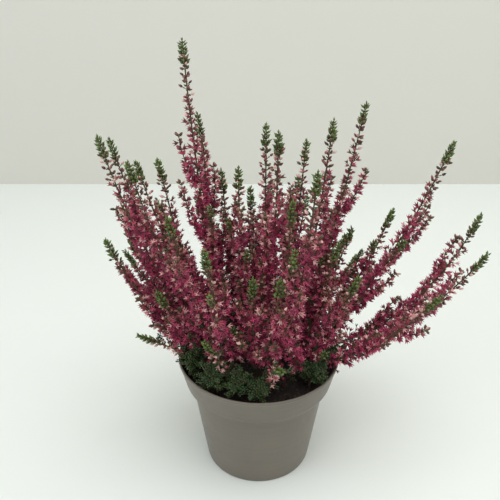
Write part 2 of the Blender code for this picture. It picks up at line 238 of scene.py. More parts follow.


# %% [markdown]
# A floret's colour changes up the spray, from deep pink to the dull olive of the last buds. It also
# differs from floret to floret, has painted shade in its bell and a painted highlight at its points,
# and a few have faded to cream. One ramp for each of the four is easier to tune than a single mix of them
# all.

# %% Floret petals
def petal_material():
    mat = new_material("floret_petals", linear(190, 60, 105), 0.55)
    tree = mat.node_tree
    place, luck, reach = growth_of(tree)
    along = ramp(tree, [
        (0.0, linear(210, 84, 136)),
        (0.5, linear(212, 98, 142)),
        (0.75, linear(202, 116, 134)),
        (0.9, linear(168, 130, 112)),
        (1.0, linear(124, 120, 82)),
    ])
    tree.links.new(place, along.inputs["Fac"])
    chance = ramp(tree, [
        (0.0, linear(96, 84, 72)),
        (0.25, linear(156, 118, 122)),
        (0.5, linear(220, 190, 196)),
        (0.8, linear(255, 225, 228)),
    ])
    tree.links.new(luck, chance.inputs["Fac"])
    tinted = mixed(tree, "MULTIPLY", 0.75, along.outputs["Color"], chance.outputs["Color"])
    # The base-to-point ramp below is painted shade deep in the bell and a painted highlight at the points.
    painted_shade_and_highlight = ramp(tree, [
        (0.0, linear(120, 108, 90)),
        (0.4, linear(200, 180, 182)),
        (1.0, linear(255, 242, 246)),
    ])
    tree.links.new(reach, painted_shade_and_highlight.inputs["Fac"])
    shaded = mixed(tree, "MULTIPLY", 0.9, tinted, painted_shade_and_highlight.outputs["Color"])
    faded = ramp(tree, [(0.85, (0, 0, 0, 1)), (0.9, (0.75, 0.75, 0.75, 1))])
    tree.links.new(luck, faded.inputs["Fac"])
    colour = mixed(tree, "MIX", faded.outputs["Color"], shaded, linear(238, 196, 188))
    mottle = noise_of(tree, 900, 2.0)
    coloured(tree, mixed(tree, "SOFT_LIGHT", 0.4, colour, mottle))
    roughened(tree, mottle, 0.4, 0.7)
    bumped(tree, noise_of(tree, 2600, 2.0), 0.35, 0.0002)
    return mat


# %% [markdown]
# The scale leaves are dark and bluish at the foot of the plant and bright at the growing tips. The bark
# turns from grey brown to green the same way, with fibres stretched along the stem.

# %% Leaf and bark
def leaf_material():
    mat = new_material("scale_leaves", linear(60, 90, 45), 0.5)
    tree = mat.node_tree
    place, luck, reach = growth_of(tree)
    along = ramp(tree, [
        (0.0, linear(58, 88, 56)),
        (0.35, linear(82, 102, 60)),
        (0.75, linear(98, 106, 66)),
        (1.0, linear(102, 130, 62)),
    ])
    tree.links.new(place, along.inputs["Fac"])
    chance = ramp(tree, [(0.0, linear(160, 170, 150)), (1.0, linear(255, 255, 235))])
    tree.links.new(luck, chance.inputs["Fac"])
    tinted = mixed(tree, "MULTIPLY", 0.8, along.outputs["Color"], chance.outputs["Color"])
    point = ramp(tree, [
        (0.0, linear(170, 150, 120)),
        (0.4, linear(225, 225, 210)),
        (1.0, linear(255, 255, 225)),
    ])
    tree.links.new(reach, point.inputs["Fac"])
    colour = mixed(tree, "MULTIPLY", 0.8, tinted, point.outputs["Color"])
    mottle = noise_of(tree, 1200, 2.0)
    coloured(tree, mixed(tree, "SOFT_LIGHT", 0.35, colour, mottle))
    roughened(tree, mottle, 0.35, 0.6)
    bumped(tree, noise_of(tree, 3000, 2.0), 0.3, 0.0002)
    return mat


def bark_material():
    mat = new_material("stem_bark", linear(92, 66, 52), 0.8)
    tree = mat.node_tree
    place, _, _ = growth_of(tree)
    along = ramp(tree, [
        (0.0, linear(74, 56, 44)),
        (0.5, linear(98, 66, 56)),
        (0.85, linear(108, 84, 62)),
        (1.0, linear(96, 112, 58)),
    ])
    tree.links.new(place, along.inputs["Fac"])
    fibre = noise_of(tree, 700, 4.0, (1, 1, 0.25))
    coloured(tree, mixed(tree, "OVERLAY", 0.6, along.outputs["Color"], fibre))
    roughened(tree, fibre, 0.65, 0.9)
    bumped(tree, fibre, 0.5, 0.0003)
    return mat


GROWTH_MATERIALS = [bark_material(), leaf_material(), petal_material()]
BARK, LEAF, PETAL = range(3)
print("materials of a shoot:", [mat.name for mat in GROWTH_MATERIALS])

# %% [markdown]
# ## The routes of the shoots
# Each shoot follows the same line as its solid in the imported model: a curve from its foot in the peat
# to its tip, pushed clear of its neighbours. Those lines could be traced from the solids' meshes, but
# the same short table and curve make them exactly, and a reader can change a spray by its tip.

# %% Table of sprays: tip x, y, z in mm, bow in degrees, share below the flowers, half width
LEFT = [
    (-48, 10, 315, 3, 0.12, 5.6),
    (-42, 30, 265, 3, 0.12, 5.8),
    (-104, 0, 257, 8, 0.12, 5.6),
    (-103, 27, 248, 8, 0.15, 5.4),
    (-83, -15, 245, 6, 0.10, 5.6),
    (-90, 48, 225, 8, 0.15, 5.6),
    (-67, 5, 240, 5, 0.10, 5.6),
    (-104, -8, 188, 14, 0.18, 5.4),
    (-96, 22, 182, 12, 0.18, 5.4),
    (-85, -26, 123, 0, 0.15, 4.6),
    (-57, -40, 218, 5, 0.10, 5.8),
    (-70, -22, 156, 10, 0.15, 5.4),
]
CENTRE = [
    (-27, 35, 223, 2, 0.12, 5.2),
    (-14, 0, 236, 2, 0.10, 5.6),
    (4, 8, 263, 2, 0.10, 5.8),
    (11, -18, 265, 2, 0.10, 5.6),
    (32, 26, 247, 3, 0.10, 5.8),
    (-20, 48, 160, 6, 0.15, 5.2),
    (-6, 32, 211, 2, 0.12, 5.4),
    (20, -34, 226, 3, 0.10, 5.8),
]
RIGHT = [
    (47, 4, 267, 3, 0.10, 5.6),
    (70, 20, 274, 3, 0.10, 5.4),
    (126, 5, 252, 10, 0.12, 5.8),
    (98, 32, 194, 14, 0.14, 5.8),
    (150, 0, 203, 24, 0.16, 5.8),
    (149, -25, 186, 18, 0.16, 5.4),
    (67, 22, 184, 8, 0.12, 5.4),
    (53, 44, 177, 6, 0.12, 5.4),
    (54, -5, 184, 6, 0.12, 5.6),
    (63, -40, 177, 10, 0.12, 5.8),
    (116, -45, 166, 16, 0.16, 5.4),
]
FRONT = [
    (30, -72, 258, 8, 0.10, 5.8),
    (-34, -58, 204, 5, 0.06, 6.0),
    (-5, -50, 181, 5, 0.10, 5.8),
    (12, -62, 187, 6, 0.08, 6.0),
    (-36, -56, 138, 6, 0.10, 5.0),
    (14, -72, 126, -12, 0.25, 5.4),
]
BACK = [
    (-80, 64, 190, 8, 0.14, 5.6),
    (-50, 84, 185, 8, 0.14, 5.6),
    (-25, 88, 145, 10, 0.14, 5.4),
    (10, 76, 200, 6, 0.12, 5.8),
    (40, 86, 185, 8, 0.14, 5.6),
    (70, 62, 160, 8, 0.14, 5.6),
    (104, 50, 150, 14, 0.14, 5.4),
    (-104, 44, 155, 12, 0.14, 5.4),
    (30, 52, 213, 5, 0.12, 5.6),
    (86, 84, 132, 4, 0.16, 5.2),
    (-12, 108, 124, -4, 0.16, 5.2),
    (-70, 98, 128, 2, 0.16, 5.4),
]
SPRAYS = {"left": LEFT, "centre": CENTRE, "right": RIGHT, "front": FRONT, "back": BACK}
LEAFY_SHOOTS = [
    (-33, -44, 101, 5.0),
    (-17, -49, 100, 5.0),
    (-2, -53, 98, 5.0),
    (-50, -18, 103, 5.2),
    (-52, 10, 101, 5.0),
    (43, -36, 99, 5.0),
    (12, 52, 100, 5.0),
    (-36, 40, 100, 5.0),
]

print("sprays:", sum(len(sprays) for sprays in SPRAYS.values()), "leafy shoots:", len(LEAFY_SHOOTS))

# %% [markdown]
# A spray leaves the peat near the middle and leans out to its tip, so its foot can be worked out from
# its tip. Its width along the way comes from three stretches: leafy skirt, flowers and green tip.

# %% Sizes of the shoots and of the pot that they keep clear of, all in mm
POT_HEIGHT = 91.0
RIM_RADIUS = 60.0
SOIL_Z = 80.0
SOIL_RADIUS = 55.0
COLLAR_TURN = 7.0
FOOT_SPREAD = 44.0
FOOT_REACH = 65.0
LEAFY_FOOT = 0.84
LOW_TIP_Z = 110.0
ROUTE_POINTS = 28
HANDLE = 0.33
BOW_HANDLE = 0.0025
TIP_LENGTH = 26.0
LEAFY_TIP_LENGTH = 4.0
TIP_WIDTH = 3.2
TIP_TAPER = 0.55
SKIRT_WIDTH = 3.4
LOWER_SWELL = 1.2
UPPER_TAPER = 0.8


def foot_of(tip):
    """Where a spray comes out of the peat: nearer the edge, the further out it reaches."""
    reach = math.hypot(tip[0], tip[1])
    radius = FOOT_SPREAD * (1 - math.exp(-reach / FOOT_REACH))
    return Vector((tip[0] * radius / reach, tip[1] * radius / reach, SOIL_Z + COLLAR_TURN))


def arc_route(foot, tip, bow):
    """A smooth curve from foot to tip that starts flatter and ends steeper by the bow."""
    chord = tip - foot
    outward = Vector((chord.x, chord.y, 0)).normalized()
    slope = math.atan2(chord.z, math.hypot(chord.x, chord.y))
    handle = chord.length * (HANDLE + abs(bow) * BOW_HANDLE)

    def aim(angle):
        return outward * math.cos(angle) + Vector((0, 0, math.sin(angle)))

    first = foot + aim(slope - math.radians(bow)) * handle
    second = tip - aim(slope + math.radians(bow)) * handle
    route = []
    for index in range(ROUTE_POINTS):
        t = index / (ROUTE_POINTS - 1)
        s = 1 - t
        route.append(s**3 * foot + 3 * s * s * t * first + 3 * s * t * t * second + t**3 * tip)
    return np.array(route)


def outer_radius(kind, share, width):
    """How far the growth reaches from the stem, at a share of its stretch."""
    if kind == "skirt":
        return SKIRT_WIDTH
    if kind == "bloom":
        return width * (LOWER_SWELL + (UPPER_TAPER - LOWER_SWELL) * share)
    return TIP_WIDTH * (1 - TIP_TAPER * share)


def zones_of(length, bare, tip_length):
    """The stretches of a spray from foot to tip: leafy skirt, flowers, green tip."""
    return [
        ("skirt", 0.0, bare * length),
        ("bloom", bare * length, length - tip_length),
        ("tip", length - tip_length, length),
    ]


def width_along(length, bare, width, tip_length):
    """Half width of the growth at each point of a route."""
    widths = np.zeros(ROUTE_POINTS)
    run = np.linspace(0, length, ROUTE_POINTS)
    for kind, start, end in zones_of(length, bare, tip_length):
        for index in range(ROUTE_POINTS):
            if start <= run[index] <= end:
                share = (run[index] - start) / max(1.0, end - start)
                widths[index] = max(widths[index], outer_radius(kind, share, width))
    return widths


# %% [markdown]
# Neighbouring sprays that cross are pushed apart a little at a time. A physics simulation could do
# this too, but at most six hundred small numpy steps take seconds and give the same answer every time.

# %% Push the routes clear of each other
CLEARANCE = 1.1
ROUNDS = 600
NEIGHBOUR_ROUNDS = 10
NEIGHBOUR_MARGIN = 6.0
TIP_HOLD = 0.5
LARGEST_LIFT = 2.0
SMOOTHINGS = 3
CLOSE_ENOUGH = 0.05


def near_pairs(points, owner, reach):
    """Pairs of points on different routes that lie within reach of each other."""
    first = []
    second = []
    for index in range(len(points) - 1):
        distance = np.linalg.norm(points[index + 1 :] - points[index], axis=1)
        close = np.nonzero((distance < reach) & (owner[index + 1 :] != owner[index]))[0]
        first.append(np.full(len(close), index))
        second.append(close + index + 1)
    return np.concatenate(first), np.concatenate(second)


def clear_pot(points, widths):
    """Lifts shoots that end outside the pot over its lip, and draws the others in from its collar."""
    radius = np.hypot(points[:, :, 0], points[:, :, 1])
    inwards = radius - (SOIL_RADIUS - widths - CLEARANCE)
    upwards = POT_HEIGHT + widths + CLEARANCE - points[:, :, 2]
    touching = (inwards > 0) & (upwards > 0)
    leaves = radius[:, -1:] > RIM_RADIUS
    pull = np.where(touching & ~leaves, inwards, 0) / radius
    lift = np.where(touching & leaves, np.minimum(upwards, LARGEST_LIFT), 0)
    return np.stack([-points[:, :, 0] * pull, -points[:, :, 1] * pull, lift], axis=2)


def bend_clear(routes, widths):
    """Pushes neighbouring routes apart a little at a time, and low shoots only sideways."""
    routes = np.array(routes)
    widths = np.array(widths)
    shift = np.zeros_like(routes)
    hold = np.linspace(1.0, TIP_HOLD, ROUTE_POINTS)[None, :, None]
    owner = np.repeat(np.arange(len(routes)), ROUTE_POINTS)
    flat = widths.reshape(-1)
    low = routes[:, -1, 2] < LOW_TIP_Z
    for turn in range(ROUNDS):
        points = (routes + shift).reshape(-1, 3)
        if turn % NEIGHBOUR_ROUNDS == 0:
            one, two = near_pairs(points, owner, 2 * flat.max() + NEIGHBOUR_MARGIN)
            need = flat[one] + flat[two] + CLEARANCE
        away = points[one] - points[two]
        distance = np.linalg.norm(away, axis=1) + 1e-6
        lack = np.clip(need - distance, 0, None)
        step = away * (lack / distance)[:, None]
        push = np.zeros_like(points)
        hits = np.ones(len(points))
        for side, sign in ((one, 1), (two, -1)):
            np.add.at(push, side, sign * step)
            np.add.at(hits, side, lack > 0)
        from_pot = clear_pot(points.reshape(routes.shape), widths)
        if lack.max() < CLOSE_ENOUGH and np.abs(from_pot).max() < CLOSE_ENOUGH:
            break
        push = (push / hits[:, None]).reshape(routes.shape) + from_pot
        for _ in range(SMOOTHINGS):
            padded = np.concatenate([push[:, :1], push, push[:, -1:]], axis=1)
            push = (padded[:, :-2] + 2 * padded[:, 1:-1] + padded[:, 2:]) / 4
        push[:, :2, 2] = 0
        push[low, :, 2] = 0
        shift += push * hold
    return routes + shift


def route_length(route):
    """The length of a route along its points."""
    return float(np.linalg.norm(np.diff(route, axis=0), axis=1).sum())


def planned():
    """Every shoot before it is bent clear: node, route, bare share, half width, tip length."""
    shoots = []
    for side, sprays in SPRAYS.items():
        for number, (x, y, z, bow, bare, width) in enumerate(sprays, 1):
            tip = Vector((x, y, z))
            route = arc_route(foot_of(tip), tip, bow)
            shoots.append((f"spray_{side}_{number:02d}", route, bare, width, TIP_LENGTH))
    for number, (x, y, z, width) in enumerate(LEAFY_SHOOTS, 1):
        tip = Vector((x, y, z))
        foot = Vector((x * LEAFY_FOOT, y * LEAFY_FOOT, SOIL_Z + COLLAR_TURN))
        shoots.append((f"leafy_shoot_{number}", arc_route(foot, tip, 0), 0.0, width, LEAFY_TIP_LENGTH))
    return shoots


SHOOTS = planned()
widths = [width_along(route_length(shoot[1]), shoot[2], shoot[3], shoot[4]) for shoot in SHOOTS]
ROUTES = bend_clear([shoot[1] for shoot in SHOOTS], widths)
print(len(ROUTES), "routes, longest", round(max(route_length(route) for route in ROUTES), 1), "mm")

# %% [markdown]
# ## Templates: floret, bud and scale leaf
# A heather floret is a bell of four pointed sepals, hardly 4 mm long. Each floret could be sculpted
# with curled petals, but thousands of them are needed, so one small closed shape of a few dozen faces
# is bridged from two rings and then planted again and again with its own size, turn and colour.

# %% Helpers for the templates
def ring_of(bm, segments, radius, z):
    """A flat ring of vertices at a height."""
    made = bmesh.ops.create_circle(bm, segments=segments, radius=radius)["verts"]
    bmesh.ops.translate(bm, verts=made, vec=(0, 0, z))
    return made


def loft(bm, rings):
    """Bridges rings of vertices one after another and closes both ends at a point."""
    edges = [[edge for edge in bm.edges if all(vert in ring for vert in edge.verts)] for ring in rings]
    for lower, upper in zip(edges, edges[1:]):
        bmesh.ops.bridge_loops(bm, edges=lower + upper)
    for ring in (edges[0], edges[-1]):
        face = bmesh.ops.contextual_create(bm, geom=ring)["faces"]
        bmesh.ops.poke(bm, faces=face)


def finish_template(name, bm, slot, length, smooth=True):
    """Keeps the base-to-point number in blue and the finish in the material slot."""
    bmesh.ops.recalc_face_normals(bm, faces=bm.faces)
    layer = bm.verts.layers.float_color.new("growth")
    for vert in bm.verts:
        vert[layer] = (0.5, 0.5, min(1.0, max(0.0, vert.co.z / length)), 1.0)
    for face in bm.faces:
        face.material_index = slot
        face.smooth = smooth
    mesh = bpy.data.meshes.new(name)
    bm.to_mesh(mesh)
    bm.free()
    print(name, len(mesh.polygons), "faces,", triangles_in(mesh), "triangles")
    return mesh


# %% The open floret, one millimetre long
BELL_MOUTH = 0.34
SEPAL_SPREAD = 1.45
NOTCH_DEPTH = 0.45


def floret_template():
    """A bell of four sepals: every other vertex of its upper ring is drawn out into a point."""
    bm = bmesh.new()
    rings = [ring_of(bm, 4, 0.27, 0.42), ring_of(bm, 8, BELL_MOUTH, 0.72)]
    for index, vert in enumerate(rings[1]):
        if index % 2:
            vert.co.xy *= NOTCH_DEPTH
            vert.co.z = 0.6
        else:
            vert.co.xy *= SEPAL_SPREAD
            vert.co.z = 1.0
    loft(bm, rings)
    lowest = min(bm.verts, key=lambda vert: vert.co.z + 10 * vert.co.xy.length)
    lowest.co.z = 0.0
    deepest = max(bm.verts, key=lambda vert: vert.co.z - 10 * vert.co.xy.length)
    deepest.co.z = 0.45
    return finish_template("floret_template", bm, PETAL, 1.0, smooth=False)


FLORET = floret_template()

# %% The closed bud, the scale leaf and the stalk, each one millimetre long
LEAF_FLATNESS = 0.7
LEAF_CURVE = 0.18


def bud_template():
    """A pointed egg with five sides."""
    bm = bmesh.new()
    loft(bm, [ring_of(bm, 5, 0.27, 0.25), ring_of(bm, 5, 0.24, 0.66)])
    base, top = sorted((vert for vert in bm.verts if vert.co.xy.length < 0.01), key=lambda vert: vert.co.z)
    base.co.z = 0.0
    top.co.z = 1.0
    return finish_template("bud_template", bm, PETAL, 1.0)


def scale_template():
    """A keeled leaf: a four-sided egg, flattened and curved to lie along its stem."""
    bm = bmesh.new()
    loft(bm, [ring_of(bm, 4, 0.30, 0.42)])
    base, tip = (vert for vert in bm.verts if vert.co.xy.length < 0.01)
    base.co.z = 0.0
    tip.co.z = 1.0
    for vert in bm.verts:
        vert.co.y *= LEAF_FLATNESS
        vert.co.y -= LEAF_CURVE * vert.co.z**2
    return finish_template("scale_template", bm, LEAF, 1.0)


def stalk_template():
    """A three-sided twig, one millimetre long and one across."""
    bm = bmesh.new()
    bmesh.ops.create_cone(bm, cap_ends=True, segments=3, radius1=0.5, radius2=0.42, depth=1.0)
    bmesh.ops.translate(bm, verts=bm.verts, vec=(0, 0, 0.5))
    return finish_template("stalk_template", bm, BARK, 1.0)


BUD = bud_template()
SCALE = scale_template()
STALK = stalk_template()

# %% [markdown]
# ## Planting
# Instances or particles would be lighter, but an exported part needs real meshes. A template's points
# are turned and moved with one matrix and appended to the spray's own mesh, which takes much less than
# a thousandth of a second each.

# %% Plant a template
class Planter:
    """Appends copies of a template to a mesh, each with its own place and colour numbers."""

    def __init__(self, template):
        self.mesh = template.copy()
        count = len(template.vertices)
        self.points = np.empty(count * 3)
        template.vertices.foreach_get("co", self.points)
        self.points = self.points.reshape(-1, 3)
        self.colours = np.empty(count * 4)
        template.attributes["growth"].data.foreach_get("color", self.colours)
        self.colours = self.colours.reshape(-1, 4)
        self.planted = 0

    def plant(self, bm, base, direction, roll, length, girth, place, luck):
        """Adds one copy that stands on its base and points in a direction."""
        turn = direction.to_track_quat("Z", "Y").to_matrix() @ Matrix.Rotation(roll, 3, "Z")
        placed = (self.points * (girth, girth, length)) @ np.array(turn).T + np.array(base)
        self.mesh.vertices.foreach_set("co", placed.ravel())
        self.colours[:, 0] = place
        self.colours[:, 1] = luck
        self.mesh.attributes["growth"].data.foreach_set("color", self.colours.ravel())
        bm.from_mesh(self.mesh)
        self.planted += 1


florets = Planter(FLORET)
buds = Planter(BUD)
scales = Planter(SCALE)
twigs = Planter(STALK)

# %% [markdown]
# ## Places along a stem
# Everything on a shoot is placed by its distance up the stem. A curve object could be asked for its
# points too, but a route is only 28 points, so straight steps between them are enough.

# %% A line that knows its points, directions and sides
FULL_TURN = 6.3
AIM_SPAN = 2.0


class Line:
    """A route that can be asked for its point, direction and side at any distance."""

    def __init__(self, route):
        self.route = np.array(route)
        steps = np.linalg.norm(np.diff(self.route, axis=0), axis=1)
        self.run = np.concatenate([[0], np.cumsum(steps)])
        self.length = float(self.run[-1])

    def point(self, distance):
        return Vector([float(np.interp(distance, self.run, self.route[:, axis])) for axis in range(3)])

    def aim(self, distance):
        return (self.point(distance + AIM_SPAN) - self.point(distance - AIM_SPAN)).normalized()

    def sides(self, distance):
        aim = self.aim(distance)
        across = aim.cross(Vector((0, 0, 1)) if abs(aim.z) < 0.9 else Vector((0, 1, 0))).normalized()
        return aim, across, aim.cross(across)


def around(across, other, angle):
    """The direction square to a stem, at an angle round it."""
    return across * math.cos(angle) + other * math.sin(angle)


TALLEST = Line(ROUTES[0])
print("halfway up the tallest spray:", [round(value, 1) for value in TALLEST.point(TALLEST.length / 2)])

# %% [markdown]
# ## The woody stem
# A stem bends gently and thins towards its tip. It could be a curve with a round bevel, but an export
# needs one closed mesh, so a ring is extruded from point to point and its ends are closed.

# %% Stems as thin tubes
STEM_DEPTH = 8.0
STEM_THICK = 0.95
STEM_THIN = 0.4
STEM_SIDES = 6
STEM_STATION = 7


def tube(bm, points, radii, sides, place):
    """A closed tube along a line of points, made by extruding its first ring."""
    layer = bm.verts.layers.float_color["growth"]
    ring = bmesh.ops.create_circle(bm, cap_ends=True, segments=sides, radius=1.0)["verts"]
    edges = list({edge for vert in ring for edge in vert.link_edges})
    faces = list({face for vert in ring for face in vert.link_faces})
    old = Matrix.Identity(4)
    every = list(ring)
    for index, (point, radius) in enumerate(zip(points, radii)):
        after = points[min(index + 1, len(points) - 1)]
        before = points[max(index - 1, 0)]
        facing = (after - before).to_track_quat("Z", "Y").to_matrix().to_4x4()
        new = Matrix.Translation(point) @ facing @ Matrix.Scale(radius, 4)
        if index:
            made = bmesh.ops.extrude_edge_only(bm, edges=edges)["geom"]
            ring = [item for item in made if isinstance(item, bmesh.types.BMVert)]
            held = set(ring)
            edges = [e for e in made if isinstance(e, bmesh.types.BMEdge) and all(v in held for v in e.verts)]
            faces += [item for item in made if isinstance(item, bmesh.types.BMFace)]
            every += ring
        bmesh.ops.transform(bm, matrix=new @ old.inverted(), verts=ring)
        old = new
    faces += bmesh.ops.contextual_create(bm, geom=edges)["faces"]
    bmesh.ops.recalc_face_normals(bm, faces=faces)
    for face in faces:
        face.smooth = True
        face.material_index = BARK
    for vert in every:
        vert[layer] = (place, 0.5, 0.5, 1.0)


def stem_of(bm, line):
    """The woody stem, from inside the peat to just under the tip."""
    foot = line.point(0)
    heights = (SOIL_Z - STEM_DEPTH, SOIL_Z + COLLAR_TURN * 0.6)
    points = [Vector((foot.x, foot.y, height)) for height in heights]
    stations = np.linspace(2.5, line.length - 1.5, max(4, round(line.length / STEM_STATION)))
    points += [line.point(distance) for distance in stations]
    radii = [STEM_THICK] * len(heights)
    radii += [STEM_THICK + (STEM_THIN - STEM_THICK) * distance / line.length for distance in stations]
    tube(bm, points, radii, STEM_SIDES, 0.4)


# %% [markdown]
# ## Scale leaves
# Heather leaves are scales hardly 2 mm long, in crossed pairs pressed against the stem. A bump map could
# show them, but they make the knobbly outline of every tip, so each leaf is a small solid of its own.

# %% Scale leaves, and short leafy twigs
LEAF_OFFSET = 0.3
TWIG_GIRTH = 0.7
TWIG_PITCH = 1.2
TWIG_LEAF = 2.3


def scale_leaves(bm, line, rng, start, end, pitch, lean, length, place):
    """Crossed pairs of small leaves pressed against the stem."""
    count = max(1, round((end - start) / pitch))
    for index in range(count):
        distance = start + (end - start) * (index + 0.5) / count
        aim, across, other = line.sides(distance)
        point = line.point(distance)
        for half in range(2):
            outward = around(across, other, math.pi * (half + 0.5 * (index % 2)) + rng.uniform(-0.3, 0.3))
            direction = (aim + outward * lean * rng.uniform(0.8, 1.25)).normalized()
            size = length * rng.uniform(0.85, 1.2)
            base = point + outward * LEAF_OFFSET
            scales.plant(bm, base, direction, rng.uniform(0, FULL_TURN), size, size, place, rng.random())


def side_twig(bm, base, direction, length, rng, place):
    """A short leafy side twig with rows of scale leaves, turned up a little at its end."""
    end = base + direction * length + Vector((0, 0, length * 0.25))
    twig = Line([base, base + direction * length * 0.5, end])
    twigs.plant(bm, base, direction, 0.0, twig.length * 0.9, TWIG_GIRTH, 0.3, 0.5)
    scale_leaves(bm, twig, rng, 0.5, twig.length, TWIG_PITCH, 0.65, TWIG_LEAF, place)


# %% [markdown]
# ## Flowers
# Above its leafy foot a spray carries whorls of short side stalks, each with two or three florets, thick
# below and sparser above, then closed buds. A spray could be a hair curve with a flower texture, but its
# outline is all small points, so each stalk and floret is placed on its own.

# %% One flower stalk
FLORET_LENGTH = 3.7
BUD_LENGTH = 3.4
SIZE_RANGE = (0.82, 1.15)
STALK_GIRTH = 0.55
BUDS_BEGIN = 0.65
BUDS_ONLY = 0.88
SPARSE_FROM = 0.85


def flower_stalk(bm, line, distance, angle, outer, share, low_luck, rng):
    """A side stalk with its florets or buds, two or three below and one or two above."""
    aim, across, other = line.sides(distance)
    direction = (around(across, other, angle) + aim * rng.uniform(0.45, 0.95)).normalized()
    base = line.point(distance)
    reach = outer * rng.uniform(0.6, 1.6 - 0.4 * share)
    budding = share > BUDS_ONLY or (share > BUDS_BEGIN and rng.random() < (share - BUDS_BEGIN) * 2.4)
    size = (BUD_LENGTH if budding else FLORET_LENGTH) * rng.uniform(*SIZE_RANGE)
    stalk = max(0.8, reach - size * 0.75)
    twigs.plant(bm, base, direction, 0.0, stalk, STALK_GIRTH, 0.3 + 0.6 * share, 0.5)
    planter = buds if budding else florets
    number = 3 if share < 0.5 else 2
    if share > SPARSE_FROM:
        number = 1 if rng.random() < 0.4 else 2
    for step in range(number):
        side = Vector((rng.uniform(-1, 1), rng.uniform(-1, 1), rng.uniform(-1, 1)))
        spread = (direction + side * (0.75 if step else 0.25)).normalized()
        tone = min(1.0, max(0.0, share + rng.uniform(-0.12, 0.12)))
        root = base + direction * (stalk - stalk * step / number)
        girth = size * rng.uniform(0.85, 1.12)
        roll = rng.uniform(0, FULL_TURN)
        planter.plant(bm, root, spread, roll, size, girth, tone, rng.uniform(low_luck, 1.0))
    roll = rng.uniform(0, FULL_TURN)
    scales.plant(bm, base + direction * stalk * 0.5, direction, roll, 1.8, 1.6, 0.5, rng.random())


# %% Whorls of stalks along a stretch of stem
WHORL_PITCH = 3.4
WHORL_TURN = 1.1


def flowers_along(bm, line, rng, start, end, width, low_share, low_luck=0.0):
    """Whorls of flower stalks, thick below and sparser towards the tip."""
    turn = rng.uniform(0, FULL_TURN)
    distance = start
    while distance < end:
        share = low_share + (1 - low_share) * (distance - start) / (end - start)
        outer = outer_radius("bloom", share, width)
        stalks = 4 if share < 0.5 else 3
        for index in range(stalks):
            angle = turn + math.tau * index / stalks + rng.uniform(-0.35, 0.35)
            place = distance + rng.uniform(-0.8, 0.8)
            flower_stalk(bm, line, place, angle, outer, share, low_luck, rng)
        turn += WHORL_TURN + rng.uniform(-0.2, 0.2)
        distance += WHORL_PITCH * (1 + 0.3 * share)
    scale_leaves(bm, line, rng, start, end, 3.0, 0.8, 2.1, 0.55)


# %% [markdown]
# ## Green tips and side branches
# Every spray ends in a knobbly green point with the last small buds among its leaves. Slim branches
# leave the stem below it and turn up beside it. One thick spray could hide that, but the branches fill
# the gaps between sprays as they do on the real plant.

# %% Green tip
GREEN_TIP = 16.0
TIP_PITCH = 1.3
TIP_BUD_PITCH = 2.6
# from and to, as shares of the tip, then how far the leaves lean out and their length in mm
TIP_STAGES = [(0.0, 0.4, 1.05, 4.1), (0.4, 0.8, 0.95, 3.7), (0.8, 1.0, 0.6, 2.9)]


def green_tip(bm, line, rng, length):
    """A knobbly point of scale leaves with the last small buds among them."""
    start = line.length - length
    for low, high, lean, size in TIP_STAGES:
        first = start + (length - 1) * low
        last = start + (length - 1) * high
        scale_leaves(bm, line, rng, first, last, TIP_PITCH, lean, size, 0.8 + 0.2 * high)
    for distance in np.arange(start - 3, start + length * 0.5, TIP_BUD_PITCH):
        aim, across, other = line.sides(distance)
        direction = (around(across, other, rng.uniform(0, FULL_TURN)) + aim * 0.9).normalized()
        point = line.point(distance)
        twigs.plant(bm, point, direction, 0.0, 1.6, 0.5, 1.0, 0.5)
        buds.plant(bm, point + direction * 1.4, direction, 0.0, 2.7, 2.8, 1.0, rng.random())


# %% Side branch
BRANCH_OFFSET = (8.0, 12.0)
BRANCH_POINTS = 7
BRANCH_GIRTH = 0.9
BRANCH_WIDTH = 0.65
BRANCH_BARE = 5.0
BRANCH_TIP = 9.0
GREEN_BRANCHES = 0.25


def side_branch(bm, line, rng, distance, length, width):
    """A slim flowering branch that leaves the stem and turns up beside it."""
    aim, across, other = line.sides(distance)
    outward = around(across, other, rng.uniform(0, FULL_TURN))
    offset = rng.uniform(*BRANCH_OFFSET)
    base = line.point(distance)
    points = []
    for t in np.linspace(0, 1, BRANCH_POINTS):
        points.append(base + outward * offset * (1 - (1 - t) ** 2) + aim * length * float(t))
    branch = Line(points)
    for lower, upper in zip(points, points[1:]):
        step = upper - lower
        twigs.plant(bm, lower, step.normalized(), 0.0, step.length * 1.05, BRANCH_GIRTH, 0.6, 0.5)
    slim = width * BRANCH_WIDTH
    if rng.random() < GREEN_BRANCHES:
        flowers_along(bm, branch, rng, BRANCH_BARE, branch.length - BRANCH_TIP, slim, 0.35)
        green_tip(bm, branch, rng, BRANCH_TIP)
    else:
        flowers_along(bm, branch, rng, BRANCH_BARE, branch.length, slim, 0.2)


# %% [markdown]
# ## A whole spray
# The parts come in the order in which they grow on the plant: stem, flowers, tip, branches, and last the
# dark leafy twigs round the foot. Sprays shorter than 80 mm are young and pale, mostly in bud, so they
# start further along the flowers' colours and draw their lucky numbers from the faded end.

# %% Grow a spray along its route
YOUNG_LENGTH = 80.0
YOUNG_SHARE = 0.62
YOUNG_LUCK = 0.72
BRANCH_SHARES = (0.22, 0.32, 0.42, 0.52, 0.6)
BRANCH_CLEARANCE = 12
SHORTEST_SKIRT = 14.0
SKIRT_TWIG_PITCH = 5.0
SKIRT_TWIGS_BEYOND = 38.0
SKIRT_TONE = 0.12
SKIRT_TWIG_TONE = 0.1


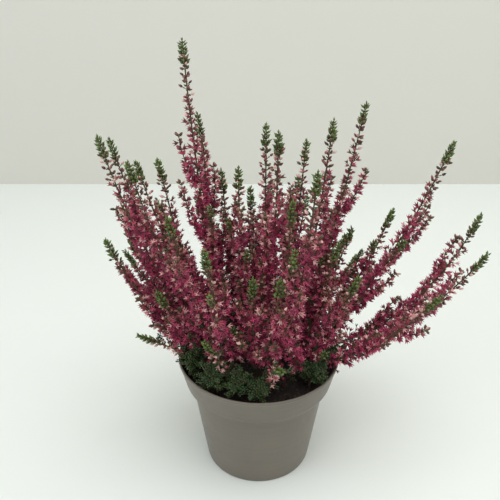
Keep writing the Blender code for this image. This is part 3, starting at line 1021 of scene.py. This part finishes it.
def grow_spray(name, route, bare, width):
    """Dresses one flowering spray, in millimetres."""
    rng = random.Random(f"{SEED} {name}")
    line = Line(route)
    bm = bmesh.new()
    bm.verts.layers.float_color.new("growth")
    stem_of(bm, line)
    bare_length = bare * line.length
    low_share, low_luck = (YOUNG_SHARE, YOUNG_LUCK) if line.length < YOUNG_LENGTH else (0.0, 0.0)
    flowers_along(bm, line, rng, bare_length, line.length - GREEN_TIP * 0.8, width, low_share, low_luck)
    green_tip(bm, line, rng, GREEN_TIP)
    for share in BRANCH_SHARES:
        clear = line.point(share * line.length).z > POT_HEIGHT + BRANCH_CLEARANCE
        if line.length > YOUNG_LENGTH and clear:
            distance = line.length * (share + rng.uniform(-0.04, 0.04))
            side_branch(bm, line, rng, distance, rng.uniform(0.13, 0.2) * line.length + 6, width)
    skirt_end = max(bare_length, SHORTEST_SKIRT)
    scale_leaves(bm, line, rng, 1.0, skirt_end, 1.6, 0.8, 2.4, SKIRT_TONE)
    for distance in np.arange(3.0, skirt_end + SKIRT_TWIGS_BEYOND, SKIRT_TWIG_PITCH):
        aim, across, other = line.sides(distance)
        direction = (around(across, other, rng.uniform(0, FULL_TURN)) + aim * 0.8).normalized()
        reach = rng.uniform(6.0, 10.0) if distance < skirt_end else rng.uniform(5.5, 8.5)
        side_twig(bm, line.point(distance), direction, reach, rng, SKIRT_TWIG_TONE)
    return bm


for (node, *_), route in zip(SHOOTS, ROUTES):
    if node.startswith("spray") and route_length(route) < YOUNG_LENGTH:
        print("young spray:", node, round(route_length(route), 1), "mm")


# %% [markdown]
# ## The leafy shoots
# Short unflowered shoots fill the foot of the plant like dark green moss. They could be scattered
# leaves, but real ones branch, so each is a stem with many leafy side twigs.

# %% Grow a leafy shoot
LEAFY_PITCH = 0.8
LEAFY_TWIGS = 3


def grow_leafy(name, route, width):
    """Dresses one leafy shoot, in millimetres."""
    rng = random.Random(f"{SEED} {name}")
    line = Line(route)
    bm = bmesh.new()
    bm.verts.layers.float_color.new("growth")
    stem_of(bm, line)
    scale_leaves(bm, line, rng, 0.5, line.length, 1.3, 0.7, 2.4, 0.3)
    for distance in np.arange(0.5, line.length - 1.0, LEAFY_PITCH):
        aim, across, other = line.sides(distance)
        point = line.point(distance)
        for _ in range(LEAFY_TWIGS):
            outward = around(across, other, rng.uniform(0, FULL_TURN))
            direction = (outward + aim * rng.uniform(0.1, 0.9)).normalized()
            reach = rng.uniform(0.8, 2.3) * width
            side_twig(bm, point, direction, reach, rng, rng.uniform(0.0, 0.3))
    return bm


# %% [markdown]
# ## Plant them all
# The shoots are grown in millimetres, which are easier to read, and scaled to the frame's metres as
# they become objects. Each one replaces the plain solid of its own node.

# %% Plant them all
def dress(name, node, bm, mats):
    """Scales a millimetre mesh to metres and lets it stand for its node."""
    bmesh.ops.transform(bm, matrix=Matrix.Scale(MM, 4), verts=bm.verts)
    piece = object_of(name, bm, mats)
    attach(piece, "root")
    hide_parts(node)
    return piece


counts = {}
for (node, _, bare, width, _), route in zip(SHOOTS, ROUTES):
    if node.startswith("spray"):
        grown = grow_spray(node, route, bare, width)
        piece = dress(f"heather_{node[6:]}", node, grown, GROWTH_MATERIALS)
    else:
        grown = grow_leafy(node, route, width)
        piece = dress(f"foliage_{node[-1]}", node, grown, GROWTH_MATERIALS)
    counts[piece.name] = triangles_in(piece.data)
print("triangles in all shoots:", sum(counts.values()))
print("most and fewest in one shoot:", max(counts.values()), min(counts.values()))
for word, planter in (("florets", florets), ("buds", buds), ("scale leaves", scales), ("twigs", twigs)):
    print(planter.planted, word)
    bpy.data.meshes.remove(planter.mesh)
for template in (FLORET, BUD, SCALE, STALK):
    bpy.data.meshes.remove(template)

# %% [markdown]
# ## The pot
# A nursery pot is injection moulded: a thin cone with a deep flared collar and a rounded lip. It could
# be built from cylinders and booleans, but it is round all over, so half of its section is drawn once
# and spun. The round edges are part of the section, and the drain holes are cut from the floor.

# %% Section of the pot, in mm
COLLAR_FOOT_RADIUS = 54.9
COLLAR_FOOT_Z = 70.0
BODY_TOP_RADIUS = 50.2
BASE_RADIUS = 40.4
WALL_THICKNESS = 1.2
POT_FLOOR = 1.8
CORNER_RADIUS = 1.4
CORNER_STEPS = 4
POT_STEPS = 112


def rounded(points, radius):
    """Rounds the inner corners of an open section."""
    smooth = [Vector(points[0])]
    for before, corner, after in zip(points, points[1:], points[2:]):
        before, corner, after = Vector(before), Vector(corner), Vector(after)
        cut = min(radius, (before - corner).length * 0.45, (after - corner).length * 0.45)
        first = corner + (before - corner).normalized() * cut
        last = corner + (after - corner).normalized() * cut
        for index in range(CORNER_STEPS + 1):
            t = index / CORNER_STEPS
            smooth.append((1 - t) ** 2 * first + 2 * t * (1 - t) * corner + t * t * last)
    return smooth + [Vector(points[-1])]


def spun(section, steps):
    """Spins radius and height pairs into a closed solid with its faces outwards."""
    bm = bmesh.new()
    verts = [bm.verts.new((radius, 0.0, z)) for radius, z in section]
    edges = [bm.edges.new(pair) for pair in zip(verts, verts[1:])]
    bmesh.ops.spin(
        bm, geom=verts + edges, cent=(0, 0, 0), axis=(0, 0, 1), angle=math.tau, steps=steps, use_merge=True
    )
    bmesh.ops.remove_doubles(bm, verts=bm.verts, dist=0.0005)
    bmesh.ops.recalc_face_normals(bm, faces=bm.faces)
    return bm


outside = [
    (0, 1.0),
    (BASE_RADIUS - 9.0, 1.0),
    (BASE_RADIUS - 8.0, 0.0),
    (BASE_RADIUS - 0.4, 0.0),
    (BASE_RADIUS + 0.2, 2.0),
    (BODY_TOP_RADIUS - 0.4, COLLAR_FOOT_Z - 6.0),
    (BODY_TOP_RADIUS + 0.6, COLLAR_FOOT_Z - 3.4),
    (COLLAR_FOOT_RADIUS - 0.8, COLLAR_FOOT_Z - 0.6),
    (COLLAR_FOOT_RADIUS + 0.4, COLLAR_FOOT_Z + 1.6),
    (RIM_RADIUS - 0.55, POT_HEIGHT - 2.6),
    (RIM_RADIUS, POT_HEIGHT - 1.9),
    (RIM_RADIUS, POT_HEIGHT),
]
inside = [
    (RIM_RADIUS - WALL_THICKNESS - 0.3, POT_HEIGHT),
    (RIM_RADIUS - WALL_THICKNESS - 0.5, POT_HEIGHT - 1.6),
    (COLLAR_FOOT_RADIUS - WALL_THICKNESS, COLLAR_FOOT_Z + 0.5),
    (BODY_TOP_RADIUS - WALL_THICKNESS, COLLAR_FOOT_Z - 0.6),
    (BASE_RADIUS - WALL_THICKNESS, POT_FLOOR + 0.4),
    (BASE_RADIUS - WALL_THICKNESS - 1.5, POT_FLOOR),
    (0, POT_FLOOR),
]
section = rounded(outside + inside, CORNER_RADIUS)
pot_mesh = spun([tuple(point) for point in section], POT_STEPS)
print("pot section points:", len(section), "faces:", len(pot_mesh.faces))

# %% [markdown]
# The plastic is a warm taupe grey with a satin face. A flat colour would look like clay, so a very
# soft mottle, fine flow lines round the pot, uneven gloss and a fine grain break it up.

# %% Pot plastic
def plastic_material():
    mat = new_material("pot_plastic", linear(128, 126, 113), 0.5)
    tree = mat.node_tree
    cloud = noise_of(tree, 18, 4.0)
    tones = ramp(tree, [(0.3, linear(104, 97, 88)), (0.7, linear(115, 107, 96))])
    tree.links.new(cloud, tones.inputs["Fac"])
    flow = noise_of(tree, 60, 3.0, (0.3, 0.3, 6.0))
    lines = mixed(tree, "SOFT_LIGHT", 0.12, tones.outputs["Color"], flow)
    coloured(tree, lines)
    roughened(tree, noise_of(tree, 240, 3.0), 0.32, 0.48)
    bumped(tree, noise_of(tree, 2200, 2.0), 0.25, 0.0001)
    return mat


PLASTIC = plastic_material()

# %% [markdown]
# Eight holes let water out of the pot's floor. They could be cut in the mesh by hand, but a Boolean
# modifier with eight short cylinders does it at once, and its result is kept as the pot's mesh.

# %% Drain holes, and the finished pot
DRAIN_HOLES = 8
DRAIN_RADIUS = 3.5
DRAIN_CIRCLE = 27.0
DRILL_SIDES = 20
DRILL_DEPTH = 12
SHARP_ANGLE = 32

drills = bmesh.new()
for index in range(DRAIN_HOLES):
    angle = math.tau * index / DRAIN_HOLES
    bmesh.ops.create_cone(
        drills,
        cap_ends=True,
        segments=DRILL_SIDES,
        radius1=DRAIN_RADIUS,
        radius2=DRAIN_RADIUS,
        depth=DRILL_DEPTH,
        matrix=Matrix.Translation((DRAIN_CIRCLE * math.cos(angle), DRAIN_CIRCLE * math.sin(angle), 0)),
    )
for bm in (drills, pot_mesh):
    bmesh.ops.transform(bm, matrix=Matrix.Scale(MM, 4), verts=bm.verts)
drill = object_of("drill", drills, [PLASTIC])
pot = object_of("nursery_pot", pot_mesh, [PLASTIC])
cutting = pot.modifiers.new("drain_holes", "BOOLEAN")
cutting.operation = "DIFFERENCE"
cutting.object = drill
baked = bpy.data.meshes.new_from_object(pot.evaluated_get(bpy.context.evaluated_depsgraph_get()))
pot.modifiers.clear()
pot.data = baked
bpy.data.objects.remove(drill, do_unlink=True)
pot.data.shade_smooth()
pot.data.set_sharp_from_angle(angle=math.radians(SHARP_ANGLE))
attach(pot, "root")
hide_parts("pot")
print("pot triangles:", triangles_in(pot.data))

# %% [markdown]
# ## The peat
# Peat is a nearly black crumb of fibres and small lumps. A bump map alone would look painted at the
# rim, so the bed is a spun disc raised with three sizes of noise, and loose crumbs lie on it.

# %% Peat material
def peat_material():
    mat = new_material("peat", linear(34, 28, 24), 0.95)
    tree = mat.node_tree
    grain = noise_of(tree, 420, 6.0)
    tones = ramp(tree, [(0.3, linear(15, 12, 11)), (0.55, linear(36, 28, 24)), (0.78, linear(78, 60, 46))])
    tree.links.new(grain, tones.inputs["Fac"])
    coloured(tree, tones.outputs["Color"])
    roughened(tree, grain, 0.85, 1.0)
    bumped(tree, noise_of(tree, 900, 5.0), 0.9, 0.0006)
    return mat


# %% Peat bed
SOIL_CROWN = 1.0
SOIL_RELIEF = 1.3
LUMP_SCALE = 0.16
# height in mm and cells in a millimetre of the two finer sizes of lumps
FINE_LUMPS = [(0.7, 0.45), (0.4, 1.1)]
PEAT_BASE = 2.1
PEAT_GAP = 0.6
PEAT_RINGS = 34
PEAT_STEPS = 110


def soil_height(x, y):
    """The peat's height over a place: a low mound with broad lumps."""
    mound = SOIL_CROWN * (1 - min(1.0, math.hypot(x, y) / COLLAR_FOOT_RADIUS) ** 2)
    return SOIL_Z + mound + SOIL_RELIEF * noise.noise(Vector((x, y, 0)) * LUMP_SCALE)


def peat_bed():
    """The peat as a spun solid that stays clear of the pot's inside, with a lumpy top."""
    base = BASE_RADIUS - WALL_THICKNESS - PEAT_GAP
    neck = BODY_TOP_RADIUS - WALL_THICKNESS - PEAT_GAP
    collar = COLLAR_FOOT_RADIUS - WALL_THICKNESS - PEAT_GAP
    edge = SOIL_RADIUS + PEAT_GAP
    wall = [(0, PEAT_BASE), (base, PEAT_BASE), (neck, COLLAR_FOOT_Z - 2), (neck, COLLAR_FOOT_Z + 2)]
    wall += [(collar, COLLAR_FOOT_Z + 2), (edge, SOIL_Z - 1)]
    top = [(edge * (1 - ring / PEAT_RINGS), SOIL_Z) for ring in range(1, PEAT_RINGS + 1)]
    bm = spun(wall + top, PEAT_STEPS)
    for vert in bm.verts:
        if vert.co.z > SOIL_Z - 0.5:
            spot = Vector((vert.co.x, vert.co.y, 0))
            rough = sum(height * noise.noise(spot * scale) for height, scale in FINE_LUMPS)
            vert.co.z = soil_height(vert.co.x, vert.co.y) + rough
    return bm


# %% Loose crumbs, and the finished bed
CRUMBS = 700
CRUMB_SIZES = (0.35, 1.0)


def scatter_crumbs(bm):
    """Drops small stretched lumps on the bed, evenly over its area."""
    rng = random.Random(SEED)
    for _ in range(CRUMBS):
        radius = (SOIL_RADIUS - 1.0) * math.sqrt(rng.random())
        angle = rng.uniform(0, math.tau)
        x, y = radius * math.cos(angle), radius * math.sin(angle)
        size = rng.uniform(*CRUMB_SIZES)
        made = bmesh.ops.create_icosphere(bm, subdivisions=1, radius=size)["verts"]
        stretch = Matrix.Diagonal((rng.uniform(0.7, 1.6), rng.uniform(0.7, 1.3), rng.uniform(0.5, 0.9), 1))
        spin = Matrix.Rotation(rng.uniform(0, FULL_TURN), 4, "Z")
        turn = spin @ Matrix.Rotation(rng.uniform(-0.6, 0.6), 4, "X")
        spot = Matrix.Translation((x, y, soil_height(x, y) + size * 0.25))
        bmesh.ops.transform(bm, matrix=spot @ turn @ stretch, verts=made)


bed_mesh = peat_bed()
scatter_crumbs(bed_mesh)
for face in bed_mesh.faces:
    face.smooth = True
bed = dress("peat_bed", "soil", bed_mesh, [peat_material()])
print("peat triangles:", triangles_in(bed.data))
